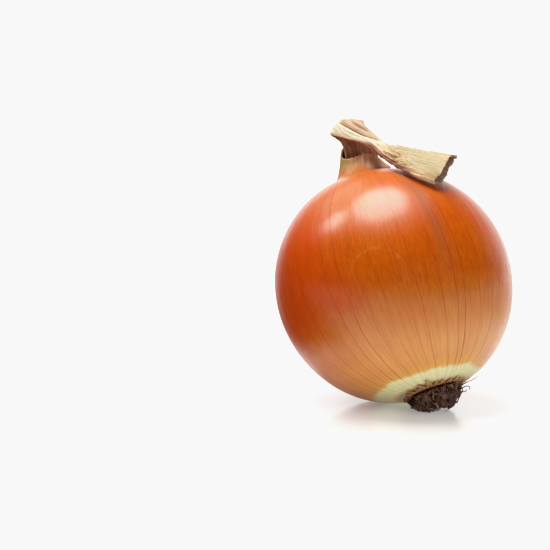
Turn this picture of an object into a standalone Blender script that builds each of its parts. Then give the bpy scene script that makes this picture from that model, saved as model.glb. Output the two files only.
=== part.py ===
"""A yellow onion that lies on its base, leaning over onto its roots.

Four pieces: the bulb with the open collar of its neck, the dried neck that folds over out of that collar,
the torn fringe of old skin round the root plate, and the root plate with its tuft of dead roots.
Everything is made in the bulb's own frame, whose +Z runs from the root plate to the neck, and is then
leant over by its parent empty. Metres, +Z up, with the origin in the middle of the flat spot that the bulb
rests on.
"""

import math
import random

import bmesh
import bpy
from mathutils import Matrix, Vector

MM = 0.001
GAP = 0.3 * MM

# Bulb: a globe with faint lobes, fuller near the roots, its upper half pushed a little to one side
BULB_RADIUS = 39.9 * MM
LEAN = 0.032
LOBES = ((5, 0.004, 1.6), (8, 0.003, 2.0))
FULLNESS = 0.018
FULLNESS_ANGLE = math.radians(143)
FULLNESS_SPREAD = math.radians(27)
BULB_SIDES = 48
BULB_RINGS = 38

# Collar: the open rim of skin that stands up round the dried neck, highest on the left
SHOULDER_ANGLE = math.radians(15.5)
COLLAR_MIDDLE = 0.8 * MM
COLLAR_HALF_WIDTH = 7.4 * MM
COLLAR_HALF_DEPTH = 5.2 * MM
COLLAR_HEIGHT = 45.4 * MM
COLLAR_SLANT = 2.2 * MM
COLLAR_WAVES = 3
COLLAR_WAVE_HEIGHT = 1.0 * MM
COLLAR_WAVE_PLACE = math.radians(289)
COLLAR_HOLLOW = 2.6 * MM
COLLAR_FLARE = 0.5 * MM
COLLAR_STEEPNESS = 2.4 * MM
COLLAR_WALL = 0.8 * MM
COLLAR_FLOOR = 41.0 * MM
COLLAR_RINGS = 6
DISH_RINGS = 3

# How the onion lies: its neck leans towards this heading, and the bulb rests on a flat spot
TILT = math.radians(27.1)
HEADING = math.radians(121.4)
FLAT_DEPTH = 0.3 * MM

# Dried neck: its left edge, its right edge, half its thickness and how far its middle is bowed away from
# the inside of the fold, in mm in the bulb's frame. It rises out of the collar, folds over along a slanting
# crease, is pinched, and widens again as it droops over the shoulder.
NECK_STATIONS = (
    ((-3.8, -0.6, 41.6), (5.0, -0.6, 41.6), 1.0, 1.6),
    ((-4.8, -0.4, 45.0), (6.0, 0.0, 45.0), 1.0, 2.4),
    ((-4.4, -0.6, 50.0), (7.0, 0.2, 49.6), 1.0, 2.6),
    ((-5.2, -1.2, 53.4), (6.2, 0.4, 54.2), 1.0, 2.4),
    ((-7.8, -3.8, 56.0), (3.9, -0.8, 58.0), 1.1, 2.4),
    ((-3.0, -7.2, 52.2), (5.0, -3.8, 54.6), 1.2, 1.8),
    ((2.5, -10.8, 47.7), (7.0, -4.8, 50.0), 1.6, 0.6),
    ((6.6, -15.4, 40.7), (9.6, -7.7, 45.4), 1.7, 0.6),
    ((10.7, -22.4, 33.2), (14.4, -11.4, 42.4), 1.5, 1.0),
    ((15.3, -27.0, 27.4), (21.6, -14.6, 38.3), 1.5, 1.4),
    ((20.5, -27.4, 23.5), (28.6, -16.9, 34.4), 1.8, 1.4),
)
NECK_STEPS = 3
NECK_SIDES = 32
NECK_RIBS = 8
NECK_RIB_HEIGHT = 0.22 * MM
NECK_RIB_WANDER = 0.8
NECK_WALL = 0.34
NECK_HOLLOW_RINGS = 4
NECK_HOLLOW_STATIONS = 0.6
NECK_TEAR = 0.9 * MM
NECK_SHORT_STEP = 0.05

# Root end: its middle lies a little off the bulb's axis, in a faint dimple
ROOT_END = Vector((2.9, 0.5, 0)) * MM
BASE_DIMPLE = 1.0 * MM
BASE_DIMPLE_RADIUS = 9 * MM

# Fringe: the torn end of an older skin, a thin ring of teeth that lies on the bulb round the root plate
FRINGE_INNER = 9.5 * MM
FRINGE_VALLEY = 10.4 * MM
FRINGE_TOOTH = 3.6 * MM
FRINGE_LONGEST = math.radians(258)
FRINGE_TEETH = 24
FRINGE_THICKNESS = 0.6 * MM

# Root plate and its roots
PLATE_TOP_RADIUS = 9.1 * MM
PLATE_END_RADIUS = 8.0 * MM
PLATE_THICKNESS = 1.8 * MM
PLATE_LIFT = 0.5 * MM
PLATE_SIDES = 28
ROOTS = 92
ROOT_REACH = 8.8 * MM
ROOT_LENGTH = 6.6 * MM
RIM_ROOT_LENGTH = 2.8 * MM
ROOT_TUCK = 0.25
ROOT_SWAY = 0.35
ROOT_CURL = 0.25
ROOT_RADIUS = 0.8 * MM
ROOT_TIP = 0.45
ROOT_SIDES = 5
ROOT_POINTS = 4
ROOM_FOR_ROOT = 2.2 * MM
GOLDEN_ANGLE = math.pi * (3 - math.sqrt(5))
SEED = 7

# Colour, roughness
SKIN = ((0.70, 0.24, 0.05), 0.35)
DRY_NECK = ((0.58, 0.42, 0.22), 0.8)
TORN_SKIN = ((0.36, 0.19, 0.09), 0.75)
DEAD_ROOT = ((0.07, 0.045, 0.035), 0.9)


def clear_scene():
    for old in list(bpy.data.objects):
        bpy.data.objects.remove(old, do_unlink=True)


def new_collection(name):
    collection = bpy.data.collections.new(name)
    bpy.context.scene.collection.children.link(collection)
    return collection


def material(name, finish):
    colour, roughness = finish
    made = bpy.data.materials.new(name)
    made.use_nodes = True
    shader = made.node_tree.nodes["Principled BSDF"]
    shader.inputs["Base Color"].default_value = (*colour, 1)
    shader.inputs["Roughness"].default_value = roughness
    shader.inputs["Metallic"].default_value = 0
    return made


def new_object(name, bm, collection):
    """An object made from a bmesh, which it uses up."""
    bmesh.ops.recalc_face_normals(bm, faces=bm.faces)
    mesh = bpy.data.meshes.new(name)
    bm.to_mesh(mesh)
    bm.free()
    mesh.shade_smooth()
    made = bpy.data.objects.new(name, mesh)
    collection.objects.link(made)
    return made


def body_point(angle, longitude, lift=0.0):
    """A point on the globe, at an angle from the neck's pole, or that far outside it."""
    lobes = sum(size * math.cos(count * longitude + turn) for count, size, turn in LOBES)
    full = FULLNESS * math.exp(-(((angle - FULLNESS_ANGLE) / FULLNESS_SPREAD) ** 2))
    radius = BULB_RADIUS * (1 + lobes * math.sin(angle) ** 2 + full) + lift
    outward = Vector((math.cos(longitude), math.sin(longitude), 0)) * radius * math.sin(angle)
    up = radius * math.cos(angle)
    if up < 0:
        up += BASE_DIMPLE * math.exp(-(((outward - ROOT_END).length / BASE_DIMPLE_RADIUS) ** 2))
    return Vector((outward.x - LEAN * up, outward.y, up))


def collar_rim(longitude):
    """The top of the collar: higher on the left, with a wavy torn edge."""
    wave = COLLAR_WAVE_HEIGHT * math.cos(COLLAR_WAVES * (longitude - COLLAR_WAVE_PLACE))
    up = COLLAR_HEIGHT - COLLAR_SLANT * math.cos(longitude) + wave
    across = COLLAR_MIDDLE + COLLAR_HALF_WIDTH * math.cos(longitude)
    return Vector((across, COLLAR_HALF_DEPTH * math.sin(longitude), up))


def bezier(share, start, first, second, end):
    rest = 1 - share
    return rest**3 * start + 3 * rest**2 * share * first + 3 * rest * share**2 * second + share**3 * end


def collar_point(share, longitude):
    """From the globe's shoulder, at share 0, in a hollow curve up to the rim, at share 1."""
    shoulder = body_point(SHOULDER_ANGLE, longitude)
    inward = body_point(SHOULDER_ANGLE - math.radians(1), longitude) - shoulder
    rim = collar_rim(longitude)
    outward = Vector((math.cos(longitude), math.sin(longitude), 0))
    below_rim = rim + outward * COLLAR_FLARE - Vector((0, 0, COLLAR_STEEPNESS))
    return bezier(share, shoulder, shoulder + inward.normalized() * COLLAR_HOLLOW, below_rim, rim)


def dish_point(share, longitude):
    """Inside the collar: from the rim's inner edge, at share 1, to the middle of its floor, at share 0."""
    rim = collar_rim(longitude)
    middle = Vector((COLLAR_MIDDLE, 0, COLLAR_FLOOR))
    outward = Vector((math.cos(longitude), math.sin(longitude), 0))
    edge = rim - outward * COLLAR_WALL
    if share == 1:
        return edge
    foot = middle + (edge - middle) * share
    foot.z = COLLAR_FLOOR
    return foot


def bulb_point(row, longitude):
    """Row 0 is the middle of the collar's floor, and the last row is the root end's pole."""
    if row <= DISH_RINGS:
        return dish_point((row / DISH_RINGS) ** 0.5, longitude)
    if row <= DISH_RINGS + COLLAR_RINGS:
        return collar_point((DISH_RINGS + COLLAR_RINGS - row) / (COLLAR_RINGS - 1), longitude)
    share = (row - DISH_RINGS - COLLAR_RINGS) / (BULB_RINGS - DISH_RINGS - COLLAR_RINGS)
    return body_point(SHOULDER_ANGLE + share * (math.pi - SHOULDER_ANGLE), longitude)


def make_bulb(parts):
    bm = bmesh.new()
    bmesh.ops.create_uvsphere(bm, u_segments=BULB_SIDES, v_segments=BULB_RINGS, radius=1)
    for vertex in bm.verts:
        angle = math.acos(max(-1.0, min(1.0, vertex.co.z)))
        longitude = math.atan2(vertex.co.y, vertex.co.x)
        vertex.co = bulb_point(round(angle / math.pi * BULB_RINGS), longitude)
    return new_object("bulb", bm, parts)


def spline(values, place):
    """A smooth curve through evenly spaced values, read at a place from 0 to the last index."""
    index = min(int(place), len(values) - 2)
    share = place - index
    before, start, end, after = (
        values[max(0, min(len(values) - 1, index + step))] for step in (-1, 0, 1, 2)
    )
    return 0.5 * (
        2 * start
        + (end - before) * share
        + (2 * before - 5 * start + 4 * end - after) * share**2
        + (3 * start - before - 3 * end + after) * share**3
    )


def neck_frame(place):
    """Middle, half width, direction and inner side of the dried neck at a place along it."""
    left = [Vector(station[0]) * MM for station in NECK_STATIONS]
    right = [Vector(station[1]) * MM for station in NECK_STATIONS]
    last = len(NECK_STATIONS) - 1
    ahead = min(place + NECK_SHORT_STEP, last)
    behind = max(place - NECK_SHORT_STEP, 0)
    left_here, right_here = spline(left, place), spline(right, place)
    along = spline(left, ahead) + spline(right, ahead) - spline(left, behind) - spline(right, behind)
    half_width = (right_here - left_here) / 2
    return (left_here + right_here) / 2, half_width, along.normalized(), half_width.cross(along).normalized()


def neck_ring(place, size=1.0, tear=0.0):
    """One section of the dried neck: a bowed, flattened oval with ribs along it, its end torn unevenly."""
    middle, half_width, along, inner_side = neck_frame(place)
    thickness = spline([station[2] * MM for station in NECK_STATIONS], place)
    bow = spline([station[3] * MM for station in NECK_STATIONS], place)
    ring = []
    for side in range(NECK_SIDES):
        turn = 2 * math.pi * side / NECK_SIDES
        rib = NECK_RIB_HEIGHT * math.cos(NECK_RIBS * turn + NECK_RIB_WANDER * math.sin(place))
        across = math.cos(turn) * size
        through = math.sin(turn) * (thickness * size + rib) - bow * (1 - across**2)
        ragged = math.cos(3 * turn + 0.5) + 0.6 * math.cos(8 * turn)
        ring.append(middle + half_width * across + inner_side * through + along * tear * ragged)
    return ring


def make_dried_neck(parts):
    last = len(NECK_STATIONS) - 1
    rings = [neck_ring(step / NECK_STEPS) for step in range(last * NECK_STEPS)]
    rings.append(neck_ring(last, tear=NECK_TEAR))
    for step in range(NECK_HOLLOW_RINGS):
        share = step / (NECK_HOLLOW_RINGS - 1)
        place = last - NECK_HOLLOW_STATIONS * share
        rings.append(neck_ring(place, 1 - NECK_WALL * (1 + 0.5 * share), NECK_TEAR * (1 - share)))
    bm = bmesh.new()
    loops = [[bm.verts.new(point) for point in ring] for ring in rings]
    for near, far in zip(loops, loops[1:]):
        for side in range(NECK_SIDES):
            after = (side + 1) % NECK_SIDES
            bm.faces.new((near[side], near[after], far[after], far[side]))
    bm.faces.new(reversed(loops[0]))
    bm.faces.new(loops[-1])
    bmesh.ops.triangulate(bm, faces=[face for face in bm.faces if len(face.verts) > 4])
    return new_object("dried_neck", bm, parts)


def root_end_point(radius, longitude, lift=0.0):
    """A point on the root end, that far from its middle, or that far outside it."""
    flat = ROOT_END + Vector((math.cos(longitude), math.sin(longitude), 0)) * radius
    return body_point(math.pi - math.asin(flat.length / BULB_RADIUS), math.atan2(flat.y, flat.x), lift)


def root_frame():
    """The frame of the root plate: it stands just off the bulb, level with it all round, with +Z into it."""
    east, north, west, south = (root_end_point(PLATE_TOP_RADIUS, math.pi / 2 * turn) for turn in range(4))
    side = (east - west).normalized()
    inward = side.cross(north - south).normalized()
    turned = Matrix((side, inward.cross(side), inward)).transposed().to_4x4()
    return Matrix.Translation(root_end_point(0, 0) - inward * PLATE_LIFT) @ turned


def make_skin_fringe(parts):
    """An open ring of teeth on the bulb's surface, given its thickness by Solidify. The teeth are longest on
    one side, and short where the bulb meets the floor."""
    draw = random.Random(SEED)
    bm = bmesh.new()
    inner, valley, outer = [], [], []
    for step in range(FRINGE_TEETH * 2):
        longitude = math.pi * step / FRINGE_TEETH
        longest = 0.5 + 0.5 * math.cos(longitude - FRINGE_LONGEST)
        height = FRINGE_TOOTH * draw.uniform(0.3, 1.0) * longest if step % 2 else 0.0
        sideways = draw.uniform(-0.04, 0.04)
        for ring, radius, shift in (
            (inner, FRINGE_INNER, 0.0),
            (valley, FRINGE_INNER + 0.5 * (FRINGE_VALLEY - FRINGE_INNER), 0.0),
            (outer, FRINGE_VALLEY + height, sideways),
        ):
            ring.append(bm.verts.new(root_end_point(radius, longitude + shift, GAP)))
    count = len(inner)
    for near, far in ((inner, valley), (valley, outer)):
        for step in range(count):
            after = (step + 1) % count
            bm.faces.new((near[step], near[after], far[after], far[step]))
    fringe = new_object("skin_fringe", bm, parts)
    shell = fringe.modifiers.new("thickness", "SOLIDIFY")
    shell.thickness = FRINGE_THICKNESS
    shell.offset = 1
    return fringe


def root_start(index):
    """Where a root starts inside the plate: its share of the way to the rim, longitude and point."""
    share = math.sqrt((index + 0.5) / ROOTS)
    longitude = index * GOLDEN_ANGLE
    outward = Vector((math.cos(longitude), math.sin(longitude), 0))
    point = root_frame() @ (outward * ROOT_REACH * share - Vector((0, 0, PLATE_THICKNESS * 0.5)))
    return share, longitude, point


def make_root(name, draw, index, lean_over, collection):
    """One dead root: a tapered tube from inside the plate, curled, and bent flat by the floor. The roots near
    the rim of the plate are the shorter ones, so together they make a low mound."""
    share, longitude, start = root_start(index)
    outward = Vector((math.cos(longitude), math.sin(longitude), 0))
    sideways = Vector((-outward.y, outward.x, 0))
    turned = root_frame().to_3x3()
    tuck = ROOT_TUCK * share**2
    heading = Vector((0, 0, -1)) - outward * tuck + sideways * draw.uniform(-ROOT_SWAY, ROOT_SWAY)
    heading = turned @ heading.normalized()
    length = (ROOT_LENGTH + (RIM_ROOT_LENGTH - ROOT_LENGTH) * share**2) * draw.uniform(0.8, 1.15)
    curl = turned @ (sideways * draw.uniform(-1, 1) + outward * draw.uniform(-0.6, 0.4)) * ROOT_CURL * length
    bm = bmesh.new()
    bmesh.ops.create_cone(
        bm, cap_ends=True, segments=ROOT_SIDES, radius1=1, radius2=1, depth=1,
        matrix=Matrix.Translation((0, 0, 0.5)),
    )
    long_edges = [edge for edge in bm.edges if abs(edge.verts[0].co.z - edge.verts[1].co.z) > 0.5]
    bmesh.ops.subdivide_edges(bm, edges=long_edges, cuts=ROOT_POINTS - 2, use_grid_fill=True)
    frame = heading.to_track_quat("Z", "Y").to_matrix()
    floor_gap = draw.uniform(0.1, 0.5) * MM
    for vertex in bm.verts:
        along = vertex.co.z
        radius = ROOT_RADIUS * (1 + (ROOT_TIP - 1) * along)
        middle = start + heading * length * along + curl * along**2
        low = (lean_over @ middle).z - radius - floor_gap
        if low < 0:
            middle -= (lean_over.to_3x3().inverted() @ Vector((0, 0, 1))) * low
        vertex.co = middle + frame @ Vector((vertex.co.x * radius, vertex.co.y * radius, 0))
    return new_object(name, bm, collection)


def make_root_tuft(parts, lean_over):
    bm = bmesh.new()
    middle = Matrix.Translation((0, 0, -PLATE_THICKNESS / 2))
    bmesh.ops.create_cone(
        bm, cap_ends=True, segments=PLATE_SIDES, radius1=PLATE_END_RADIUS, radius2=PLATE_TOP_RADIUS,
        depth=PLATE_THICKNESS, matrix=root_frame() @ middle,
    )
    tuft = new_object("root_tuft", bm, parts)
    repeats = new_collection("roots")
    draw = random.Random(SEED)
    for index in range(ROOTS):
        if (lean_over @ root_start(index)[2]).z > ROOM_FOR_ROOT:
            make_root(f"root_{index:02d}", draw, index, lean_over, repeats)
    union = tuft.modifiers.new("roots", "BOOLEAN")
    union.operation = "UNION"
    union.operand_type = "COLLECTION"
    union.collection = repeats
    union.solver = "EXACT"
    apply_modifiers(tuft)
    keep_outer_shell(tuft.data)
    for old in list(repeats.objects):
        bpy.data.objects.remove(old, do_unlink=True)
    bpy.data.collections.remove(repeats)
    return tuft


def apply_modifiers(piece):
    bpy.context.view_layer.update()
    evaluated = piece.evaluated_get(bpy.context.evaluated_depsgraph_get())
    mesh = bpy.data.meshes.new_from_object(evaluated)
    piece.modifiers.clear()
    piece.data = mesh


def keep_outer_shell(mesh):
    """Drops every shell but the largest, which fills the pockets that crossing roots seal."""
    bm = bmesh.new()
    bm.from_mesh(mesh)
    unseen = set(bm.verts)
    shells = []
    while unseen:
        shell = set()
        edge_of_shell = [unseen.pop()]
        while edge_of_shell:
            vertex = edge_of_shell.pop()
            shell.add(vertex)
            near = {edge.other_vert(vertex) for edge in vertex.link_edges} & unseen
            unseen -= near
            edge_of_shell.extend(near)
        shells.append(shell)
    shells.sort(key=len)
    dropped = [vertex for shell in shells[:-1] for vertex in shell]
    bmesh.ops.delete(bm, geom=dropped, context="VERTS")
    bm.to_mesh(mesh)
    bm.free()


def make_ground_cutter(cutters):
    """A block whose top is the surface that the onion lies on. It flattens what would reach below it."""
    size = 4 * BULB_RADIUS
    bm = bmesh.new()
    bmesh.ops.create_cube(bm, size=size, matrix=Matrix.Translation((0, 0, -size / 2)))
    block = new_object("ground_cutter", bm, cutters)
    block.hide_render = True
    block.display_type = "WIRE"
    return block


def flatten(piece, cutter):
    cut = piece.modifiers.new("ground", "BOOLEAN")
    cut.operation = "DIFFERENCE"
    cut.object = cutter
    cut.solver = "EXACT"


def leaning_matrix(bulb):
    """Leans the bulb over and sets it down with its lowest point a little under the origin."""
    hinge = Vector((-math.sin(HEADING), math.cos(HEADING), 0))
    lean_over = Matrix.Rotation(TILT, 4, hinge)
    lowest = min((lean_over @ vertex.co for vertex in bulb.data.vertices), key=lambda point: point.z)
    return Matrix.Translation(-lowest - Vector((0, 0, FLAT_DEPTH))) @ lean_over


def main():
    clear_scene()
    parts = new_collection("onion")
    cutters = new_collection("cutters")
    bulb = make_bulb(parts)
    lean_over = leaning_matrix(bulb)
    axis = bpy.data.objects.new("bulb_axis", None)
    parts.objects.link(axis)
    axis.matrix_world = lean_over
    pieces = (
        (bulb, "onion_skin", SKIN),
        (make_dried_neck(parts), "dry_neck", DRY_NECK),
        (make_skin_fringe(parts), "torn_skin", TORN_SKIN),
        (make_root_tuft(parts, lean_over), "dead_root", DEAD_ROOT),
    )
    ground = make_ground_cutter(cutters)
    for piece, slot, finish in pieces:
        piece.parent = axis
        piece.data.materials.clear()
        piece.data.materials.append(material(slot, finish))
        flatten(piece, ground)
    bpy.context.view_layer.update()


main()
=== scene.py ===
"""How the onion looks: glossy copper skin with fine veins, a dried and folded neck, a torn fringe and a mat of
dead roots, on a pale floor under soft light.

Shapes are worked out in millimetres in the bulb's own frame, whose +Z runs from the root plate to the neck.
"""

import math
import random

import bmesh
import bpy
import numpy as np
from mathutils import Matrix, Vector, noise


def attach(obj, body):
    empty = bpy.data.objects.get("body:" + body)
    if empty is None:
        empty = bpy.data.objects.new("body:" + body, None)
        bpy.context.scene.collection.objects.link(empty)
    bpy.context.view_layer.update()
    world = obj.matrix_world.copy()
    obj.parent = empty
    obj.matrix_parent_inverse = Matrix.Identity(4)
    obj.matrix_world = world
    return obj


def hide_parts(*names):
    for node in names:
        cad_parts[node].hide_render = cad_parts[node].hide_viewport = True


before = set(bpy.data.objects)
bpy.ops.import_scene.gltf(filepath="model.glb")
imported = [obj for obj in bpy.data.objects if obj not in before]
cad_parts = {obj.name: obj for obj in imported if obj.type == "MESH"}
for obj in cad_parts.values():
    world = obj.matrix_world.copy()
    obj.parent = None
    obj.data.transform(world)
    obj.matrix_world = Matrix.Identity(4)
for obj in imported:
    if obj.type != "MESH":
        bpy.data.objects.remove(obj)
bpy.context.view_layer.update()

MM = 0.001
SEED = 7

# How the onion lies, as in the part's source
TILT = math.radians(27.1)
HEADING = math.radians(121.4)
BULB_CENTRE = Vector((-1.05, -1.06, 40.02)) * MM
LEAN_OVER = Matrix.Translation(BULB_CENTRE) @ Matrix.Rotation(
    TILT, 4, Vector((-math.sin(HEADING), math.cos(HEADING), 0))
)

TURNED = np.array(LEAN_OVER)[:3, :3]
MOVED = np.array(LEAN_OVER)[:3, 3] / MM

# Globe, as in the part's source
BULB_RADIUS = 39.9
LEAN = 0.032
LOBES = ((5, 0.004, 1.6), (8, 0.003, 2.0))
FULLNESS = 0.018
FULLNESS_ANGLE = math.radians(143)
FULLNESS_SPREAD = math.radians(27)
ROOT_END = (2.9, 0.5)
BASE_DIMPLE = 1.0
BASE_DIMPLE_RADIUS = 9.0

# Collar, as in the part's source
SHOULDER_ANGLE = math.radians(15.5)
COLLAR_MIDDLE = 0.8
COLLAR_HALF_WIDTH = 7.4
COLLAR_HALF_DEPTH = 5.2
COLLAR_HEIGHT = 45.4
COLLAR_SLANT = 2.2
COLLAR_WAVES = 3
COLLAR_WAVE_HEIGHT = 1.0
COLLAR_WAVE_PLACE = math.radians(289)
COLLAR_HOLLOW = 2.6
COLLAR_FLARE = 0.5
COLLAR_STEEPNESS = 2.4
COLLAR_FLOOR = 41.0

# Dried neck, as in the part's source: left edge, right edge, half thickness, bow of the middle
NECK_STATIONS = (
    ((-3.8, -0.6, 41.6), (5.0, -0.6, 41.6), 1.0, 1.6),
    ((-4.8, -0.4, 45.0), (6.0, 0.0, 45.0), 1.0, 2.4),
    ((-4.4, -0.6, 50.0), (7.0, 0.2, 49.6), 1.0, 2.6),
    ((-5.2, -1.2, 53.4), (6.2, 0.4, 54.2), 1.0, 2.4),
    ((-7.8, -3.8, 56.0), (3.9, -0.8, 58.0), 1.1, 2.4),
    ((-3.0, -7.2, 52.2), (5.0, -3.8, 54.6), 1.2, 1.8),
    ((2.5, -10.8, 47.7), (7.0, -4.8, 50.0), 1.6, 0.6),
    ((6.6, -15.4, 40.7), (9.6, -7.7, 45.4), 1.7, 0.6),
    ((10.7, -22.4, 33.2), (14.4, -11.4, 42.4), 1.5, 1.0),
    ((15.3, -27.0, 27.4), (21.6, -14.6, 38.3), 1.5, 1.4),
    ((20.5, -27.4, 23.5), (28.6, -16.9, 34.4), 1.8, 1.4),
)

# Skin: how finely it is cut, its thin torn rim, and its relief
SKIN_SIDES = 360
GLOBE_ROWS = 170
COLLAR_ROWS = 40
INSIDE_ROWS = 16
RIM_THICKNESS = 0.3
RIM_RAGGED = 0.45
RIM_SPIKE = 4.2
RIM_SPIKE_PLACE = math.radians(160)
RIM_SPIKE_SPREAD = math.radians(19)
RIM_SPIKE_LEAN = 2.4
RIM_LOW = 1.5
RIM_LOW_PLACE = math.radians(-12)
RIM_LOW_SPREAD = math.radians(26)
RIM_LOW_WIDER = 1.2
PLEAT_DEPTH = 0.22
SKIN_RIPPLE = 0.07
FURROW_PLACE = math.radians(-64.5)
FURROW_SPREAD = math.radians(4.5)
FURROW_DEPTH = 0.16

# Skin: a faint arc that something pressed into it
ARC_MIDDLE = (-6.3, -39.3, -5.5)
ARC_RADIUS = 9.5

# Dried neck: how finely it is cut, its relief, and how far each side of its torn end reaches
NECK_ROWS = 230
NECK_SIDES = 200
NECK_SINK = 0.35
NECK_MM_PER_STATION = 6.5
NECK_SHEET = 0.35
NECK_NEAR_END = 0.17
NECK_FAR_END = 0.25
NECK_RAGGED = 0.07
NECK_CORNER_CUT = 0.22
THREADS = (
    (10.15, math.radians(140), ((0.4, -0.9, -0.6), (0.9, -1.4, -1.9), (0.8, -1.2, -3.2)), 0.22),
    (10.2, 0.1, ((0.9, -0.3, -0.4), (1.7, -0.6, -0.9)), 0.11),
)
CREASE = ((4.2, -0.38), (5.0, -0.46), (5.7, -0.60), (6.1, -0.50), (6.5, -0.15))

# Root end, as in the part's source, and the finer pieces that stand for it
FRINGE_INNER = 8.8
FRINGE_EDGE = 10.4
FRINGE_TOOTH = 4.3
FRINGE_LONGEST = math.radians(258)
FRONT_TEETH = (
    (219, 2.6), (231, 3.7), (241, 2.9), (250, 4.9), (262, 6.0), (273, 3.0), (284, 3.6), (297, 2.7), (311, 2.9),
    (326, 2.4), (345, 2.2),
)
PLATE_RADIUS = 9.1
PLATE_LIFT = 0.5
PLATE_THICKNESS = 1.6
ROOT_REACH = 9.2
ROOT_LENGTH = 6.8
RIM_ROOT_LENGTH = 2.6
STRANDS = 620
STRAND_STEP = 0.62
STRAY_ROOTS = (
    ((9.0, -1.0, -0.6), (11.2, -0.6, 0.0), (13.5, -0.3, 0.3), (15.7, 0.0, 0.9)),
    ((9.2, -2.0, -1.6), (10.8, -2.2, -1.5), (11.6, -2.4, -2.2), (11.2, -2.4, -3.0)),
    ((8.6, 0.5, -2.2), (9.9, 0.6, -2.6), (10.6, 0.4, -2.1)),
)

# The photograph's camera: its pitch, and where the globe's middle stands in its frame of 550 pixels
PIXELS = 550
PIXEL = 80 / 236 * MM
CAMERA_PITCH = math.radians(8.7)
CAMERA_DISTANCE = 0.9
GLOBE_PIXEL = (393.3, 285)
SENSOR = 36
WHITEST = 0.94
TOE = ((0.012, 0.005), (0.045, 0.036))


def flat_unit(longitude):
    return np.stack([np.cos(longitude), np.sin(longitude), np.zeros_like(longitude)], -1)


def globe_points(angle, longitude, lift=0.0):
    """Points on the globe, at angles from the neck's pole, or that far outside it."""
    lobes = sum(size * np.cos(count * longitude + turn) for count, size, turn in LOBES)
    full = FULLNESS * np.exp(-(((angle - FULLNESS_ANGLE) / FULLNESS_SPREAD) ** 2))
    radius = BULB_RADIUS * (1 + lobes * np.sin(angle) ** 2 + full) + lift
    x = radius * np.sin(angle) * np.cos(longitude)
    y = radius * np.sin(angle) * np.sin(longitude)
    up = radius * np.cos(angle)
    from_root = ((x - ROOT_END[0]) ** 2 + (y - ROOT_END[1]) ** 2) / BASE_DIMPLE_RADIUS**2
    up = np.where(up < 0, up + BASE_DIMPLE * np.exp(-from_root), up)
    return np.stack([x - LEAN * up, y, up], -1)


def field(points, scale, shift=0.0):
    """Smooth noise from -1 to 1 at each of an array of points, with a scale for each axis."""
    scaled = (points * np.asarray(scale)).reshape(-1, 3) + shift
    values = [noise.noise(Vector(point)) for point in scaled.tolist()]
    return np.array(values).reshape(points.shape[:-1])


def rim_points(longitude):
    """The top of the collar: higher on the left, wavy, finely torn, with a torn point at its left
    that leans in to the neck."""
    wave = COLLAR_WAVE_HEIGHT * np.cos(COLLAR_WAVES * (longitude - COLLAR_WAVE_PLACE))
    turn = np.remainder(longitude - RIM_SPIKE_PLACE + math.pi, 2 * math.pi) - math.pi
    spike = np.exp(-((turn / RIM_SPIKE_SPREAD) ** 2))
    ragged = field(flat_unit(longitude), (7, 7, 7), 3.1) + 0.6 * field(flat_unit(longitude), (19, 19, 19), 8.4)
    turn = np.remainder(longitude - RIM_LOW_PLACE + math.pi, 2 * math.pi) - math.pi
    low = np.exp(-((turn / RIM_LOW_SPREAD) ** 2))
    up = COLLAR_HEIGHT - COLLAR_SLANT * np.cos(longitude) + wave + RIM_SPIKE * spike + RIM_RAGGED * ragged
    up -= RIM_LOW * low
    across = COLLAR_MIDDLE + COLLAR_HALF_WIDTH * np.cos(longitude) + RIM_SPIKE_LEAN * spike + RIM_LOW_WIDER * low
    return np.stack([across, COLLAR_HALF_DEPTH * np.sin(longitude), up], -1)


def bezier(share, start, first, second, end):
    rest = 1 - share
    return rest**3 * start + 3 * rest**2 * share * first + 3 * rest * share**2 * second + share**3 * end


def collar_points(share, longitude):
    shoulder = globe_points(np.full_like(longitude, SHOULDER_ANGLE), longitude)
    inward = globe_points(np.full_like(longitude, SHOULDER_ANGLE - math.radians(1)), longitude) - shoulder
    inward /= np.linalg.norm(inward, axis=-1, keepdims=True)
    rim = rim_points(longitude)
    below_rim = rim + flat_unit(longitude) * COLLAR_FLARE - np.array((0, 0, COLLAR_STEEPNESS))
    return bezier(share, shoulder, shoulder + inward * COLLAR_HOLLOW, below_rim, rim)


def inside_points(share, longitude):
    """Inside the collar: from the rim's inner edge, at share 0, down its wall and over its floor to the middle."""
    rim = rim_points(longitude) - flat_unit(longitude) * RIM_THICKNESS
    middle = np.array((COLLAR_MIDDLE, 0, COLLAR_FLOOR))
    wall = min(share / 0.6, 1.0)
    inward = 1 - 0.16 * wall**0.7 if share <= 0.6 else 0.84 * (1 - (share - 0.6) / 0.4)
    points = middle + (rim - middle) * inward
    points[..., 2] = rim[..., 2] + (COLLAR_FLOOR - 0.2 - rim[..., 2]) * wall
    return points


def normals_of(points, closed=True):
    """A unit normal at each point of a grid, whose second axis runs round."""
    down = np.gradient(points, axis=0)
    if closed:
        round_ = np.roll(points, -1, axis=1) - np.roll(points, 1, axis=1)
    else:
        round_ = np.gradient(points, axis=1)
    normal = np.cross(round_, down)
    return normal / np.maximum(np.linalg.norm(normal, axis=-1, keepdims=True), 1e-9)


def grid_faces(rows, sides, closed, start=0):
    index = np.arange(rows * sides).reshape(rows, sides) + start
    if closed:
        after = np.roll(index, -1, axis=1)
        corners = (index[:-1], after[:-1], after[1:], index[1:])
    else:
        corners = (index[:-1, :-1], index[:-1, 1:], index[1:, 1:], index[1:, :-1])
    return np.stack(corners, -1).reshape(-1, 4).tolist()


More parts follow.
